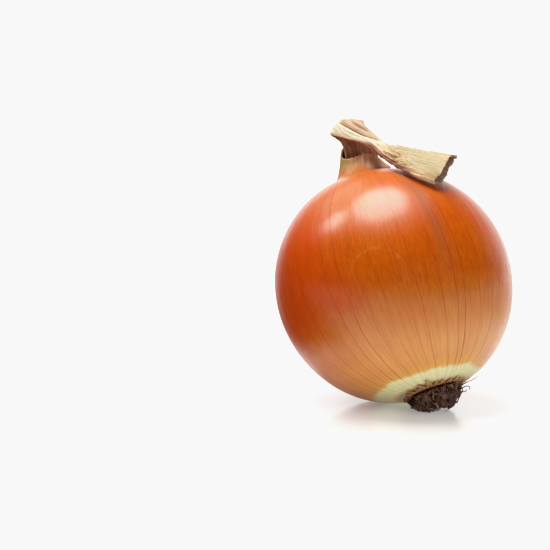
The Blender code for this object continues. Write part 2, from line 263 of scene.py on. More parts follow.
def tube_mesh(points):
    """Vertices and faces of a grid closed round, with a fan of triangles over each end."""
    rows, sides = points.shape[:2]
    vertices = points.reshape(-1, 3).tolist()
    faces = grid_faces(rows, sides, True)
    for row, ring in ((0, points[0]), (rows - 1, points[-1])):
        tip = len(vertices)
        vertices.append(ring.mean(axis=0).tolist())
        first = row * sides
        for side in range(sides):
            near, far = first + side, first + (side + 1) % sides
            faces.append((far, near, tip) if row == 0 else (near, far, tip))
    return vertices, faces


def in_world(points):
    """Points of the bulb's frame in the row's frame, still in millimetres."""
    return points @ TURNED.T + MOVED


def on_floor(points, clearance=0.0):
    """The points, lifted where they would lie below the floor."""
    world = in_world(points)
    world[..., 2] = np.maximum(world[..., 2], clearance)
    return (world - MOVED) @ TURNED


def make_piece(name, vertices, faces, finish, replaces=None, marks=None):
    """A piece that rides on the onion, from vertices in millimetres in the bulb's frame. Marks are values or
    vectors for each vertex, which its material reads."""
    mesh = bpy.data.meshes.new(name)
    mesh.from_pydata((in_world(np.asarray(vertices)) * MM).tolist(), [], faces)
    for mark, values in (marks or {}).items():
        values = np.asarray(values, dtype=np.float32)
        kind = "FLOAT_VECTOR" if values.ndim == 2 else "FLOAT"
        layer = mesh.attributes.new(mark, kind, "POINT")
        layer.data.foreach_set("vector" if values.ndim == 2 else "value", values.ravel())
    bm = bmesh.new()
    bm.from_mesh(mesh)
    bmesh.ops.recalc_face_normals(bm, faces=bm.faces)
    bm.to_mesh(mesh)
    bm.free()
    mesh.shade_smooth()
    mesh.materials.append(finish)
    piece = bpy.data.objects.new(name, mesh)
    bpy.context.scene.collection.objects.link(piece)
    if replaces:
        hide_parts(replaces)
    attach(piece, "root")
    return piece


class Graph:
    """The nodes of a material or of the world. Each method returns the socket that it makes."""

    def __init__(self, block, shader="Principled BSDF"):
        block.use_nodes = True
        self.block = block
        self.tree = block.node_tree
        self.shader = self.tree.nodes[shader]

    def feed(self, socket, value):
        if isinstance(value, bpy.types.NodeSocket):
            self.tree.links.new(value, socket)
        else:
            socket.default_value = value

    def node(self, kind, inputs, **settings):
        made = self.tree.nodes.new("ShaderNode" + kind)
        for key, value in settings.items():
            setattr(made, key, value)
        for key, value in inputs.items():
            self.feed(made.inputs[key], value)
        return made

    def math(self, operation, first, second=0.0, third=0.0, clamp=False):
        made = self.node("Math", {0: first, 1: second, 2: third}, operation=operation, use_clamp=clamp)
        return made.outputs[0]

    def vector(self, operation, first, second=None, scale=None):
        inputs = {0: first}
        if second is not None:
            inputs[1] = second
        if scale is not None:
            inputs["Scale"] = scale
        made = self.node("VectorMath", inputs, operation=operation)
        return made.outputs["Value" if operation in ("LENGTH", "DISTANCE", "DOT_PRODUCT") else "Vector"]

    def noise(self, place, scale, detail=3.0, rough=0.5, distortion=0.0):
        inputs = {
            "Vector": place, "Scale": scale, "Detail": detail, "Roughness": rough, "Distortion": distortion,
        }
        return self.node("TexNoise", inputs).outputs[0]

    def step(self, value, low, high, bottom=0.0, top=1.0):
        inputs = {"Value": value, "From Min": low, "From Max": high, "To Min": bottom, "To Max": top}
        return self.node("MapRange", inputs, interpolation_type="SMOOTHSTEP").outputs[0]

    def mix(self, share, first, second, blend="MIX"):
        made = self.node("Mix", {0: share, 6: first, 7: second}, data_type="RGBA", blend_type=blend)
        return made.outputs[2]

    def ramp(self, value, stops):
        made = self.node("ValToRGB", {0: value})
        ramp = made.color_ramp
        while len(ramp.elements) < len(stops):
            ramp.elements.new(1.0)
        for element, (place, colour) in zip(ramp.elements, stops):
            element.position = place
            element.color = (*colour, 1)
        return made.outputs[0]

    def mark(self, name, vector=False):
        made = self.node("Attribute", {}, attribute_name=name)
        return made.outputs["Vector" if vector else "Fac"]

    def bump(self, height, distance, strength=1.0, under=None):
        inputs = {"Height": height, "Distance": distance * MM, "Strength": strength}
        if under is not None:
            inputs["Normal"] = under
        return self.node("Bump", inputs).outputs[0]

    def finish(self, **sockets):
        for name, value in sockets.items():
            self.feed(self.shader.inputs[name.replace("_", " ")], value)
        return self.block


def colour(red, green, blue):
    return (red, green, blue, 1)


def add_veins(graph, place, longitude, reach, count, width, seed):
    """Thin wavering lines from the neck to the roots, one at a random place in each of count equal sectors, each
    of its own strength. Gives a mask from 0 to 1."""
    waver = graph.noise(graph.vector("ADD", place, (seed, 0, 0)), 0.05, 2.0)
    waver = graph.math("MULTIPLY_ADD", waver, 0.6, -0.3)
    cell = graph.math("MULTIPLY_ADD", longitude, count / (2 * math.pi), waver)
    index = graph.math("FLOOR", cell)
    wrapped = graph.math("WRAP", index, -count / 2, count / 2)
    inputs = {"W": graph.math("ADD", wrapped, seed)}
    draw = graph.node("SeparateColor", {0: graph.node("TexWhiteNoise", inputs, noise_dimensions="1D").outputs[1]})
    line = graph.math("MULTIPLY_ADD", draw.outputs[0], 0.5, 0.25)
    away = graph.math("ABSOLUTE", graph.math("SUBTRACT", graph.math("SUBTRACT", cell, index), line))
    away = graph.math("MULTIPLY", away, graph.math("MULTIPLY", reach, 2 * math.pi / count))
    fine = graph.noise(graph.vector("MULTIPLY", place, (0.6, 0.6, 0.25)), 1.0, 2.0)
    wide = graph.math("MULTIPLY", graph.math("MULTIPLY_ADD", fine, 1.2, 0.4), width)
    thin = graph.math("SUBTRACT", 1.0, graph.math("DIVIDE", away, wide), clamp=True)
    strength = graph.math("MULTIPLY_ADD", draw.outputs[1], 0.8, 0.2)
    return graph.math("MULTIPLY", graph.math("POWER", thin, 0.8), strength)


def skin_finish():
    """Dry outer skin: copper-orange with reddish veins, golden lower down, pale round the roots. Painted shade darkens
    its left side, a band down its upper right and the foot of the collar, and painted light brightens the collar's foot
    on the right.
    """
    graph = Graph(bpy.data.materials.new("onion_skin_look"))
    inputs = {
        "Vector": graph.node("TexCoord", {}).outputs["Object"],
        "Location": BULB_CENTRE,
        "Rotation": LEAN_OVER.to_euler(),
        "Scale": (MM, MM, MM),
    }
    place = graph.node("Mapping", inputs, vector_type="TEXTURE").outputs[0]
    parts = graph.node("SeparateXYZ", {0: place})
    x, y, z = parts.outputs
    low = graph.math("POWER", graph.math("MULTIPLY", z, -1 / 40, clamp=True), 3.0)
    high = graph.math("POWER", graph.math("MULTIPLY", z, 1 / 42, clamp=True), 3.0)
    axis_x = graph.math("ADD", graph.math("MULTIPLY", z, -LEAN), graph.math("MULTIPLY", low, ROOT_END[0]))
    axis_x = graph.math("MULTIPLY_ADD", high, 2.1, axis_x)
    from_x = graph.math("SUBTRACT", x, axis_x)
    from_y = graph.math("SUBTRACT", y, graph.math("MULTIPLY", low, ROOT_END[1]))
    longitude = graph.math("ARCTAN2", from_y, from_x)
    reach = graph.math(
        "SQRT", graph.math("ADD", graph.math("POWER", from_x, 2.0), graph.math("POWER", from_y, 2.0))
    )
    round_ = graph.node(
        "CombineXYZ",
        {
            0: graph.math("DIVIDE", from_x, reach),
            1: graph.math("DIVIDE", from_y, reach),
            2: graph.math("MULTIPLY", z, 0.0035),
        },
    ).outputs[0]

    height = graph.math("MULTIPLY_ADD", z, 1 / 90, 0.5)
    cloud = graph.noise(place, 0.045, 3.0, 0.55)
    height = graph.math("MULTIPLY_ADD", graph.math("SUBTRACT", cloud, 0.5), 0.12, height)
    base = graph.ramp(
        height,
        (
            (0.10, (0.77, 0.39, 0.100)),
            (0.17, (0.75, 0.34, 0.085)),
            (0.30, (0.60, 0.192, 0.030)),
            (0.40, (0.56, 0.104, 0.004)),
            (0.62, (0.62, 0.112, 0.004)),
            (0.88, (0.74, 0.160, 0.014)),
            (0.97, (0.66, 0.28, 0.06)),
        ),
    )
    streaks = graph.noise(round_, 26.0, 6.0, 0.7)
    base = graph.mix(
        graph.step(streaks, 0.35, 0.7), graph.mix(0.24, base, colour(0.30, 0.035, 0.0)), base
    )
    fine_streaks = graph.noise(round_, 95.0, 3.0, 0.6)
    base = graph.mix(
        graph.step(fine_streaks, 0.4, 0.65, 0.0, 0.18), base, colour(0.90, 0.30, 0.015)
    )
    reddish = graph.step(graph.noise(place, 0.03, 2.0), 0.45, 0.65, 0.0, 0.35)
    # Painted shade: the left side, less so low down, is made a deeper, darker red, as if something beside it shaded it;
    # the reddish mask below adds it to random reddish patches.
    left_side_painted_shade = graph.math("MULTIPLY", graph.step(x, -8.0, -37.0), graph.step(z, -22.0, -4.0, 0.25, 1.0))
    reddish = graph.math("ADD", reddish, left_side_painted_shade, clamp=True)
    base = graph.mix(reddish, base, graph.mix(0.72, base, colour(0.60, 0.055, 0.002)))

    # Painted shade: the skin is darker and greyer along the shallow furrow down the upper right, as if the furrow
    # shaded it.
    furrow_and_painted_shade = graph.math("ABSOLUTE", graph.math("SUBTRACT", longitude, FURROW_PLACE))
    furrow_and_painted_shade = graph.step(furrow_and_painted_shade, 0.2 * FURROW_SPREAD, 1.7 * FURROW_SPREAD, 0.55, 0.0)
    furrow_and_painted_shade = graph.math("MULTIPLY", furrow_and_painted_shade, graph.step(z, -14.0, 8.0))
    base = graph.mix(furrow_and_painted_shade, base, colour(0.38, 0.11, 0.045))
    ring = graph.math("SUBTRACT", graph.vector("DISTANCE", place, ARC_MIDDLE), ARC_RADIUS)
    ring = graph.math("MULTIPLY_ADD", graph.noise(place, 0.25, 2.0), 1.6, graph.math("SUBTRACT", ring, 0.8))
    arc = graph.math("MULTIPLY", graph.step(graph.math("ABSOLUTE", ring), 0.0, 0.9, 1.0, 0.0), graph.step(z, -5.0, 0.0))
    arc = graph.math("MULTIPLY", arc, graph.step(graph.noise(place, 0.5, 2.0), 0.35, 0.6, 0.0, 0.11))
    base = graph.mix(arc, base, colour(0.90, 0.46, 0.20))

    from_root = graph.vector("DISTANCE", place, (2.0, -1.2, -39.8))
    edge = graph.math("MULTIPLY_ADD", graph.noise(place, 0.11, 4.0, 0.6), 5.0, from_root)
    edge = graph.math("MULTIPLY_ADD", graph.noise(round_, 22.0, 2.0), 1.4, edge)
    golden = graph.step(edge, 21.5, 27.5, 1.0, 0.0)
    base = graph.mix(graph.math("MULTIPLY", golden, 0.8), base, colour(0.78, 0.40, 0.075))
    pale = graph.step(edge, 20.7, 23.1, 1.0, 0.0)
    pale_tone = graph.mix(
        graph.noise(round_, 60.0, 3.0), colour(0.80, 0.73, 0.37), colour(0.88, 0.88, 0.52)
    )
    base = graph.mix(pale, base, pale_tone)
    rusty = graph.step(from_root, 9.5, 13.0, 0.75, 0.0)
    base = graph.mix(rusty, base, colour(0.40, 0.20, 0.07))

    main = add_veins(graph, place, longitude, reach, 42, 0.27, 11.0)
    minor = add_veins(graph, place, longitude, reach, 96, 0.18, 57.0)
    vein = graph.math("MULTIPLY_ADD", minor, 0.45, main, clamp=True)
    vein = graph.math("MULTIPLY", vein, graph.step(pale, 0.0, 1.0, 1.0, 0.45))
    dark = graph.mix(pale, colour(0.40, 0.05, 0.008), colour(0.42, 0.26, 0.10))
    base = graph.mix(vein, base, dark)

    tan = graph.step(z, 41.0, 44.5)
    tan = graph.math("MULTIPLY", tan, graph.step(x, 3.5, -3.0))
    fibre = graph.noise(round_, 70.0, 4.0, 0.7)
    tan_tone = graph.ramp(fibre, ((0.3, (0.22, 0.11, 0.035)), (0.5, (0.46, 0.27, 0.08)), (0.7, (0.62, 0.42, 0.16))))
    base = graph.mix(tan, base, tan_tone)
    # Painted shade: a darker band round the foot of the collar, except on its right, where the skin turns inward.
    collar_foot_painted_shade = graph.math("MULTIPLY", graph.step(z, 36.0, 37.5), graph.step(z, 39.0, 40.5, 0.35, 0.0))
    collar_foot_painted_shade = graph.math("MULTIPLY", collar_foot_painted_shade, graph.step(x, 1.5, 5.0, 1.0, 0.0))
    base = graph.mix(collar_foot_painted_shade, base, colour(0.42, 0.13, 0.03))
    # Painted light: the collar's foot on the right is made much lighter, as if lit where the neck's shadow falls on it.
    collar_painted_light = graph.math("MULTIPLY", graph.step(z, 38.8, 41.0), graph.step(x, -1.0, 3.0, 0.0, 0.85))
    base = graph.mix(collar_painted_light, base, colour(1.0, 0.68, 0.45))
    inner = graph.mark("inner")
    inner_tone = graph.mix(graph.noise(round_, 50.0, 3.0), colour(0.05, 0.016, 0.010), colour(0.17, 0.06, 0.025))
    base = graph.mix(inner, base, inner_tone)
    base = graph.mix(graph.mark("lip"), base, colour(0.86, 0.60, 0.40))

    ripples = graph.math("MULTIPLY_ADD", fine_streaks, 0.35, graph.math("MULTIPLY", streaks, 0.65))
    relief = graph.math("MULTIPLY_ADD", vein, 0.35, ripples)
    normal = graph.bump(relief, 0.16, 0.8)
    rough = graph.math("MULTIPLY_ADD", streaks, 0.15, 0.26)
    rough = graph.math("MULTIPLY_ADD", graph.math("MAXIMUM", tan, inner), 0.35, rough)
    coat = graph.math("SUBTRACT", 0.5, graph.math("MULTIPLY", graph.math("MAXIMUM", tan, inner), 0.45))
    return graph.finish(
        Base_Color=base, Roughness=rough, Normal=normal, Coat_Weight=coat, Coat_Roughness=0.21,
        Specular_IOR_Level=0.35, Subsurface_Weight=0.08, Subsurface_Radius=(1.0, 0.3, 0.1),
        Subsurface_Scale=1.2 * MM,
    )


def make_skin():
    """The outer skin, from the root end over the globe and up the collar, over its thin rim and down inside."""
    longitude = np.arange(SKIN_SIDES) * 2 * math.pi / SKIN_SIDES
    rows, inner, pleat = [], [], []
    for step in range(GLOBE_ROWS):
        angle = math.pi * 0.9995 + (SHOULDER_ANGLE - math.pi * 0.9995) * step / GLOBE_ROWS
        rows.append(globe_points(np.full_like(longitude, angle), longitude))
        inner.append(0.0)
        pleat.append(0.0)
    for step in range(COLLAR_ROWS + 1):
        share = step / COLLAR_ROWS
        rows.append(collar_points(share, longitude))
        inner.append(0.0)
        pleat.append(share)
    for step in range(INSIDE_ROWS + 1):
        share = step / (INSIDE_ROWS + 1)
        rows.append(inside_points(share, longitude))
        inner.append(1.0)
        pleat.append(max(0.0, 1 - share * 2.5))
    points = np.array(rows)
    pleat = np.array(pleat)[:, None]
    round_ = np.broadcast_to(flat_unit(longitude), points.shape).copy()
    around = round_ + points * np.array((0, 0, 0.02))
    folds = field(around, (4.5, 4.5, 1), 5.7) + 0.5 * field(around, (13, 13, 1), 2.2)
    ripple = field(around, (11, 11, 1), 9.3)
    fade = np.sin(np.clip(np.arange(len(rows)) / GLOBE_ROWS, 0, 1) * math.pi)[:, None] ** 0.5
    outward = PLEAT_DEPTH * pleat**1.5 * folds + SKIN_RIPPLE * fade * ripple
    # The furrow is also cut into the shape here; its painted shade is in the skin's material.
    turn = np.remainder(longitude - FURROW_PLACE + math.pi, 2 * math.pi) - math.pi
    furrow_and_painted_shade = np.exp(-((turn / FURROW_SPREAD) ** 2)) * smooth(points[..., 2], -14.0, 4.0)
    outward -= FURROW_DEPTH * furrow_and_painted_shade * (1 - pleat)
    points = points + round_ * outward[..., None]
    points = on_floor(points)
    vertices, faces = tube_mesh(points)
    inner = np.repeat(inner, SKIN_SIDES).tolist() + [0.0, 1.0]
    lip = np.zeros(len(rows))
    lip[GLOBE_ROWS + COLLAR_ROWS - 2 : GLOBE_ROWS + COLLAR_ROWS + 2] = (0.3, 0.8, 1.0, 0.8)
    lip = np.repeat(lip, SKIN_SIDES).tolist() + [0.0, 0.0]
    make_piece(
        "outer_skin", vertices, faces, skin_finish(), "bulb", {"inner": inner, "lip": lip}
    )


def spline(values, place):
    """Catmull-Rom curves through evenly spaced values, carried on straight beyond either end."""
    values = np.asarray(values, dtype=float)
    last = len(values) - 1
    inside = np.clip(place, 0, last)
    index = np.minimum(inside.astype(int), last - 1)
    share = inside - index
    if values.ndim == 2:
        share = share[..., None]
    before, start, end, after = (values[np.clip(index + step, 0, last)] for step in (-1, 0, 1, 2))
    curve = 0.5 * (
        2 * start
        + (end - before) * share
        + (2 * before - 5 * start + 4 * end - after) * share**2
        + (3 * start - before - 3 * end + after) * share**3
    )
    beyond = np.where(place > last, place - last, 0.0)
    short = np.where(place < 0, place, 0.0)
    if values.ndim == 2:
        beyond, short = beyond[..., None], short[..., None]
    return curve + beyond * (values[-1] - values[-2]) + short * (values[1] - values[0])


def neck_points(place, turn, thinner=0.0):
    """Points round the dried neck at places along it, and their coordinates across, through and along it."""
    left = [station[0] for station in NECK_STATIONS]
    right = [station[1] for station in NECK_STATIONS]
    left_here, right_here = spline(left, place), spline(right, place)
    along = spline(left, place + 0.05) + spline(right, place + 0.05)
    along -= spline(left, place - 0.05) + spline(right, place - 0.05)
    half = (right_here - left_here) / 2
    inward = np.cross(half, along)
    inward /= np.linalg.norm(inward, axis=-1, keepdims=True)
    width = np.linalg.norm(half, axis=-1)
    thickness = spline([station[2] for station in NECK_STATIONS], place) - thinner
    bow = spline([station[3] for station in NECK_STATIONS], place)
    across = np.cos(turn) * (1 - thinner / width)
    through = np.sin(turn) * thickness - bow * (1 - across**2)
    points = (left_here + right_here) / 2 + half * across[..., None] + inward * through[..., None]
    grain = np.stack([across * width, np.sin(turn) * thickness, place * NECK_MM_PER_STATION], -1)
    return points, grain


def window(value, low, high, soft):
    """1 between low and high, fading to 0 over a soft distance outside them."""
    return np.clip((value - low) / soft + 1, 0, 1) * np.clip((high - value) / soft + 1, 0, 1)


def smooth(value, low, high):
    share = np.clip((value - low) / (high - low), 0, 1)
    return share * share * (3 - 2 * share)


def ridges(points, scale, shift):
    return 1 - 2 * np.abs(field(points, scale, shift)) ** 0.8


def neck_relief(place, turn, grain):
    """How far the neck's surface stands out from its plain form, and how much of it is the folded hollow."""
    across, through = np.cos(turn), np.sin(turn)
    wander = grain.copy()
    wander[..., 0] += 0.9 * field(grain, (0.30, 0.5, 0.16), 3.6) + 0.3 * field(grain, (1.0, 1.0, 0.5), 1.9)
    relief = 0.16 * ridges(wander, (0.60, 0.8, 0.045), 1.3) + 0.13 * ridges(wander, (1.5, 1.5, 0.13), 4.4)
    relief += 0.06 * field(wander, (4.2, 4.2, 0.5), 7.7)
    relief *= 1 + 0.7 * smooth(place, 6.3, 7.3)
    pinch = np.exp(-(((place - 7.6) / 1.2) ** 2))
    relief += pinch * (0.75 * field(wander, (0.7, 0.7, 0.33), 2.9) + 0.40 * field(wander, (1.6, 1.6, 0.7), 6.1))
    riser = (1 - smooth(place, 3.2, 4.2)) * smooth(through, -0.1, 0.3)
    relief += riser * 0.28 * ridges(grain, (0.8, 0.8, 0.03), 9.9)
    crease = np.interp(place, [stop[0] for stop in CREASE], [stop[1] for stop in CREASE])
    outside = smooth(through, 0.02, -0.2) * window(place, 4.3, 6.3, 0.35)
    beside = across - crease
    hollow = outside * smooth(beside, -0.02, 0.08)
    lens = np.exp(-(((place - 5.15) / 0.5) ** 2) - ((across - 0.22) / 0.24) ** 2)
    relief += outside * 0.35 * smooth(beside, 0.02, -0.12)
    relief -= outside * 0.75 * np.exp(-((beside / 0.065) ** 2)) + outside * 0.85 * lens
    relief += outside * 0.30 * np.exp(-(((beside - 0.24) / 0.09) ** 2))
    relief += 0.8 * np.exp(-(((place - 4.35) / 0.18) ** 2) - ((across - 0.9) / 0.15) ** 2)
    return relief, hollow


def neck_end(turn):
    """Where along it the neck is torn off: the side near the camera is shorter than the side on the bulb."""
    far = smooth(np.sin(turn), -0.4, 0.4)
    circle = np.stack([np.cos(turn), np.sin(turn), np.zeros_like(turn)], -1)
    ragged = field(circle, (3, 3, 3), 1.7) + 0.7 * field(circle, (9, 9, 9), 5.2) + 0.25 * field(circle, (24, 24, 24), 3.3)
    corner = 0.10 * np.exp(-(((np.cos(turn) - 1) / 0.05) ** 2))
    corner -= NECK_CORNER_CUT * smooth(-np.cos(turn), 0.5, 1.0)
    return 10 + NECK_NEAR_END + (NECK_FAR_END - NECK_NEAR_END) * far + NECK_RAGGED * ragged + corner


def neck_finish():
    """Dead leaf: straw-coloured fibres outside, dark reddish-brown inside, pinkish in the fold, with painted shade
    where its surface sinks in and on its inside under the fold.
    """
    graph = Graph(bpy.data.materials.new("dry_neck_look"))
    grain = graph.mark("grain", vector=True)
    fibres = graph.noise(graph.vector("MULTIPLY", grain, (2.4, 2.4, 0.16)), 1.0, 5.0, 0.65, 0.3)
    threads = graph.noise(graph.vector("MULTIPLY", grain, (6.0, 6.0, 0.30)), 1.0, 3.0, 0.6)
    blotches = graph.noise(graph.vector("MULTIPLY", grain, (0.35, 0.35, 0.18)), 1.0, 4.0, 0.6)
    straw = graph.ramp(
        fibres,
        ((0.28, (0.46, 0.28, 0.13)), (0.42, (0.70, 0.51, 0.29)), (0.56, (0.82, 0.67, 0.43)), (0.75, (0.90, 0.80, 0.58))),
    )
    straw = graph.mix(graph.step(threads, 0.42, 0.62, 0.25, 0.0), straw, colour(0.40, 0.24, 0.11))
    straw = graph.mix(graph.step(blotches, 0.48, 0.68, 0.0, 0.5), straw, colour(0.72, 0.44, 0.24))
    deep = graph.mark("deep")
    along = graph.node("SeparateXYZ", {0: grain}).outputs[2]
    bleached = graph.math("MULTIPLY", graph.step(along, 20.0, 27.0), graph.step(along, 41.0, 48.0, 0.7, 0.0))
    straw = graph.mix(bleached, straw, colour(0.95, 0.85, 0.63))
    weathered = graph.step(along, 44.0, 54.0, 0.0, 0.48)
    patches = graph.noise(graph.vector("MULTIPLY", grain, (0.28, 0.28, 0.10)), 1.0, 3.0, 0.6)
    patches = graph.step(patches, 0.42, 0.58)
    straw = graph.mix(weathered, straw, graph.mix(patches, colour(0.72, 0.43, 0.20), colour(0.44, 0.38, 0.22)))
    # Painted shade: the straw is darker where the surface sinks in, as the deep mark says.
    straw = graph.mix(graph.step(deep, 0.62, 0.98, 0.0, 0.75), straw, colour(0.26, 0.13, 0.055))
    strands = graph.noise(graph.vector("MULTIPLY", grain, (1.1, 1.1, 0.20)), 1.0, 2.0, 0.5, 0.8)
    gaps = graph.step(graph.math("ABSOLUTE", graph.math("SUBTRACT", strands, 0.5)), 0.0, 0.04, 1.0, 0.0)
    gaps = graph.math("MULTIPLY", gaps, graph.math("MULTIPLY_ADD", graph.mark("pinch"), 0.35, 0.2))
    straw = graph.mix(gaps, straw, colour(0.28, 0.18, 0.085))
    knots = graph.noise(graph.vector("MULTIPLY", grain, (1.3, 1.3, 0.8)), 1.0, 3.0, 0.6)
    knots = graph.math("MULTIPLY", graph.step(knots, 0.56, 0.68), graph.mark("pinch"))
    straw = graph.mix(graph.math("MULTIPLY", knots, 0.7), straw, colour(0.20, 0.10, 0.04))
    fold = graph.ramp(fibres, ((0.3, (0.40, 0.20, 0.12)), (0.5, (0.62, 0.38, 0.25)), (0.8, (0.80, 0.58, 0.42))))
    # Painted shade: the fold is darker where it sinks deepest.
    fold = graph.mix(graph.step(deep, 0.75, 1.0, 0.0, 0.7), fold, colour(0.25, 0.11, 0.06))
    straw = graph.mix(graph.math("MULTIPLY", graph.mark("hollow"), 0.85), straw, fold)
    inside = graph.ramp(fibres, ((0.3, (0.29, 0.115, 0.075)), (0.5, (0.55, 0.25, 0.165)), (0.72, (0.68, 0.40, 0.28))))
    # Painted shade: the inside is darker where it sinks in.
    inside = graph.mix(graph.step(deep, 0.55, 0.9, 0.0, 0.6), inside, colour(0.20, 0.065, 0.045))
    # Painted shade: the inside is darker where it lies under the folded-over part of the neck.
    under = graph.math("MULTIPLY", graph.step(along, 38.0, 43.0), graph.step(along, 54.0, 57.0, 0.6, 0.0))
    inside = graph.mix(under, inside, colour(0.22, 0.085, 0.05))
    brown = graph.ramp(fibres, ((0.3, (0.21, 0.13, 0.09)), (0.5, (0.44, 0.30, 0.21)), (0.7, (0.64, 0.48, 0.35))))
    inside = graph.mix(graph.step(along, 57.0, 60.0), inside, brown)
    base = graph.mix(graph.mark("inner"), straw, inside)
    height = graph.math("MULTIPLY_ADD", gaps, -0.8, graph.math("MULTIPLY_ADD", threads, 0.4, fibres))
    normal = graph.bump(height, 0.22, 0.9)
    rough = graph.math("MULTIPLY_ADD", fibres, -0.25, 0.80)
    return graph.finish(Base_Color=base, Roughness=rough, Normal=normal, Specular_IOR_Level=0.35)


def make_neck():
    """The dead leaf that rises out of the collar, folds over and droops to its torn, open end."""
    turn = np.arange(NECK_SIDES) * 2 * math.pi / NECK_SIDES
    end = neck_end(turn)
    rows, grains, marks = [], [], []
    for step in range(NECK_ROWS):
        share = step / (NECK_ROWS - 1)
        place = -NECK_SINK + (end + NECK_SINK) * share
        points, grain = neck_points(place, turn)
        relief, hollow = neck_relief(place, turn, grain)
        rows.append(points)
        grains.append(grain)
        inner = smooth(np.sin(turn), -0.02, 0.22)
        underside = smooth(np.cos(turn), -0.80, -0.93) * window(place, 6.2, 8.5, 0.4)
        inner = np.maximum(inner, underside)
        pinch = np.exp(-(((place - 7.6) / 1.3) ** 2))
        # The last mark, deep, is painted shade: it grows where the surface sinks below its plain form.
        marks.append((relief, hollow, inner, pinch, np.clip(0.5 - relief * 1.6, 0, 1)))
    points = np.array(rows)
    relief = np.array([mark[0] for mark in marks])
    normal = normals_of(points)
    middle = points.mean(axis=1, keepdims=True)
    if ((points - middle) * normal).sum() < 0:
        normal = -normal
    points = points + normal * relief[..., None]
    inside_rows = 26
    inner_points, inner_grains = [], []
    for step in range(inside_rows):
        share = step / (inside_rows - 1)
        place = end - 0.012 - 0.9 * share
        ring, grain = neck_points(place, turn, NECK_SHEET * smooth(share, -0.02, 0.06) + 0.5 * share)
        wave = field(grain, (0.9, 1.5, 0.2), 8.8) * 0.25 * share
        inner_points.append(ring + normal[-1] * wave[:, None])
        inner_grains.append(grain)
    shift = (points[-1] - rows[-1]) * 1.0
    inner_points = np.array(inner_points)
    fade = np.linspace(1, 0, inside_rows)[:, None, None]
    inner_points = inner_points + shift * fade
    points = np.concatenate([points, inner_points])
    vertices, faces = tube_mesh(points)
    grain = np.concatenate([np.array(grains), np.array(inner_grains)]).reshape(-1, 3)
    empty = np.zeros((inside_rows, NECK_SIDES))
    count = NECK_SIDES * inside_rows
    hollow = np.concatenate([np.array([mark[1] for mark in marks]), empty]).ravel()
    inner = np.concatenate([np.array([mark[2] for mark in marks]).ravel(), np.ones(count)])
    pinch = np.concatenate([np.array([mark[3] for mark in marks]).ravel(), np.zeros(count)])
    deep = np.concatenate([np.array([mark[4] for mark in marks]).ravel(), np.full(count, 0.5)])
    ends = [grain[:NECK_SIDES].mean(axis=0), grain[-NECK_SIDES:].mean(axis=0)]
    make_piece(
        "neck_leaf", vertices, faces, neck_finish(), "dried_neck",
        {
            "grain": np.concatenate([grain, ends]),
            "hollow": np.append(hollow, (0, 0)),
            "inner": np.append(inner, (1, 1)),
            "pinch": np.append(pinch, (0, 0)),
            "deep": np.append(deep, (0, 0)),
        },
    )


def make_threads():
    """A loose thread that hangs from the neck's torn end on to the bulb, and one that stands out at its tip."""
    bundle = Bundle()
    for place, turn, drops, radius in THREADS:
        start = neck_points(np.array([place]), np.array([turn]))[0][0]
        path = [start]
        for drop in drops:
            path.append(start + np.array(drop))
        path = clear_of_globe(spline(path, np.linspace(0, len(path) - 1, 12)), radius)
        vertices, faces = tube(path, np.linspace(1.0, 0.5, 12) * radius, 6)
        bundle.add(vertices, faces, grain=vertices)
    count = len(bundle.vertices)
    # Painted shade: a deep of 0.8 darkens the threads all over.
    flat = {name: np.full(count, value) for name, value in (("hollow", 0.0), ("inner", 1.0), ("pinch", 0.0), ("deep", 0.8))}
    make_piece(
        "neck_threads", bundle.vertices, bundle.faces, neck_finish(), None,
        {"grain": np.array(bundle.marks["grain"]) + np.array((0, 0, 50.0)), **flat},
    )


def root_end_points(radius, longitude, lift=0.0):
    """Points on the root end, at distances from its middle, or that far outside it."""
    x = ROOT_END[0] + radius * np.cos(longitude)
    y = ROOT_END[1] + radius * np.sin(longitude)
    flat = np.sqrt(x**2 + y**2)
    return globe_points(math.pi - np.arcsin(flat / BULB_RADIUS), np.arctan2(y, x), lift)


def plate_frame():
    """Middle and axes of the root plate, as in the part's source: its third axis points into the bulb."""
    quarter = np.arange(4) * math.pi / 2
    east, north, west, south = root_end_points(np.full(4, PLATE_RADIUS), quarter)
    side = (east - west) / np.linalg.norm(east - west)
    inward = np.cross(side, north - south)
    inward /= np.linalg.norm(inward)
    middle = root_end_points(np.zeros(1), np.zeros(1))[0] - inward * PLATE_LIFT
    return middle, np.stack([side, np.cross(inward, side), inward])


def tube(path, radii, sides, flatness=1.0, twist=0.0):
    """Vertices and faces of a tapered tube with closed ends along a path. Flatness squeezes its section."""
    path = np.asarray(path)
    along = np.gradient(path, axis=0)
    along /= np.linalg.norm(along, axis=1, keepdims=True)
    guide = np.cross(along[0], (0.31, 0.77, 0.55))
    rings = []
    for index, point in enumerate(path):
        side = guide - along[index] * (guide @ along[index])
        side /= np.linalg.norm(side)
        guide = side
        other = np.cross(along[index], side)
        turn = np.arange(sides) * 2 * math.pi / sides + twist * index
        across = np.cos(turn)[:, None] * side + np.sin(turn)[:, None] * other * flatness
        rings.append(point + across * radii[index])
    return tube_mesh(np.array(rings))


class Bundle:
    """Gathers the vertices, faces and marks of many small parts into one piece."""

    def __init__(self):
        self.vertices, self.faces, self.marks = [], [], {}

    def add(self, vertices, faces, **marks):
        first = len(self.vertices)
        self.vertices.extend(vertices)
        self.faces.extend([tuple(corner + first for corner in face) for face in faces])
        for name, values in marks.items():
            self.marks.setdefault(name, []).extend(values)


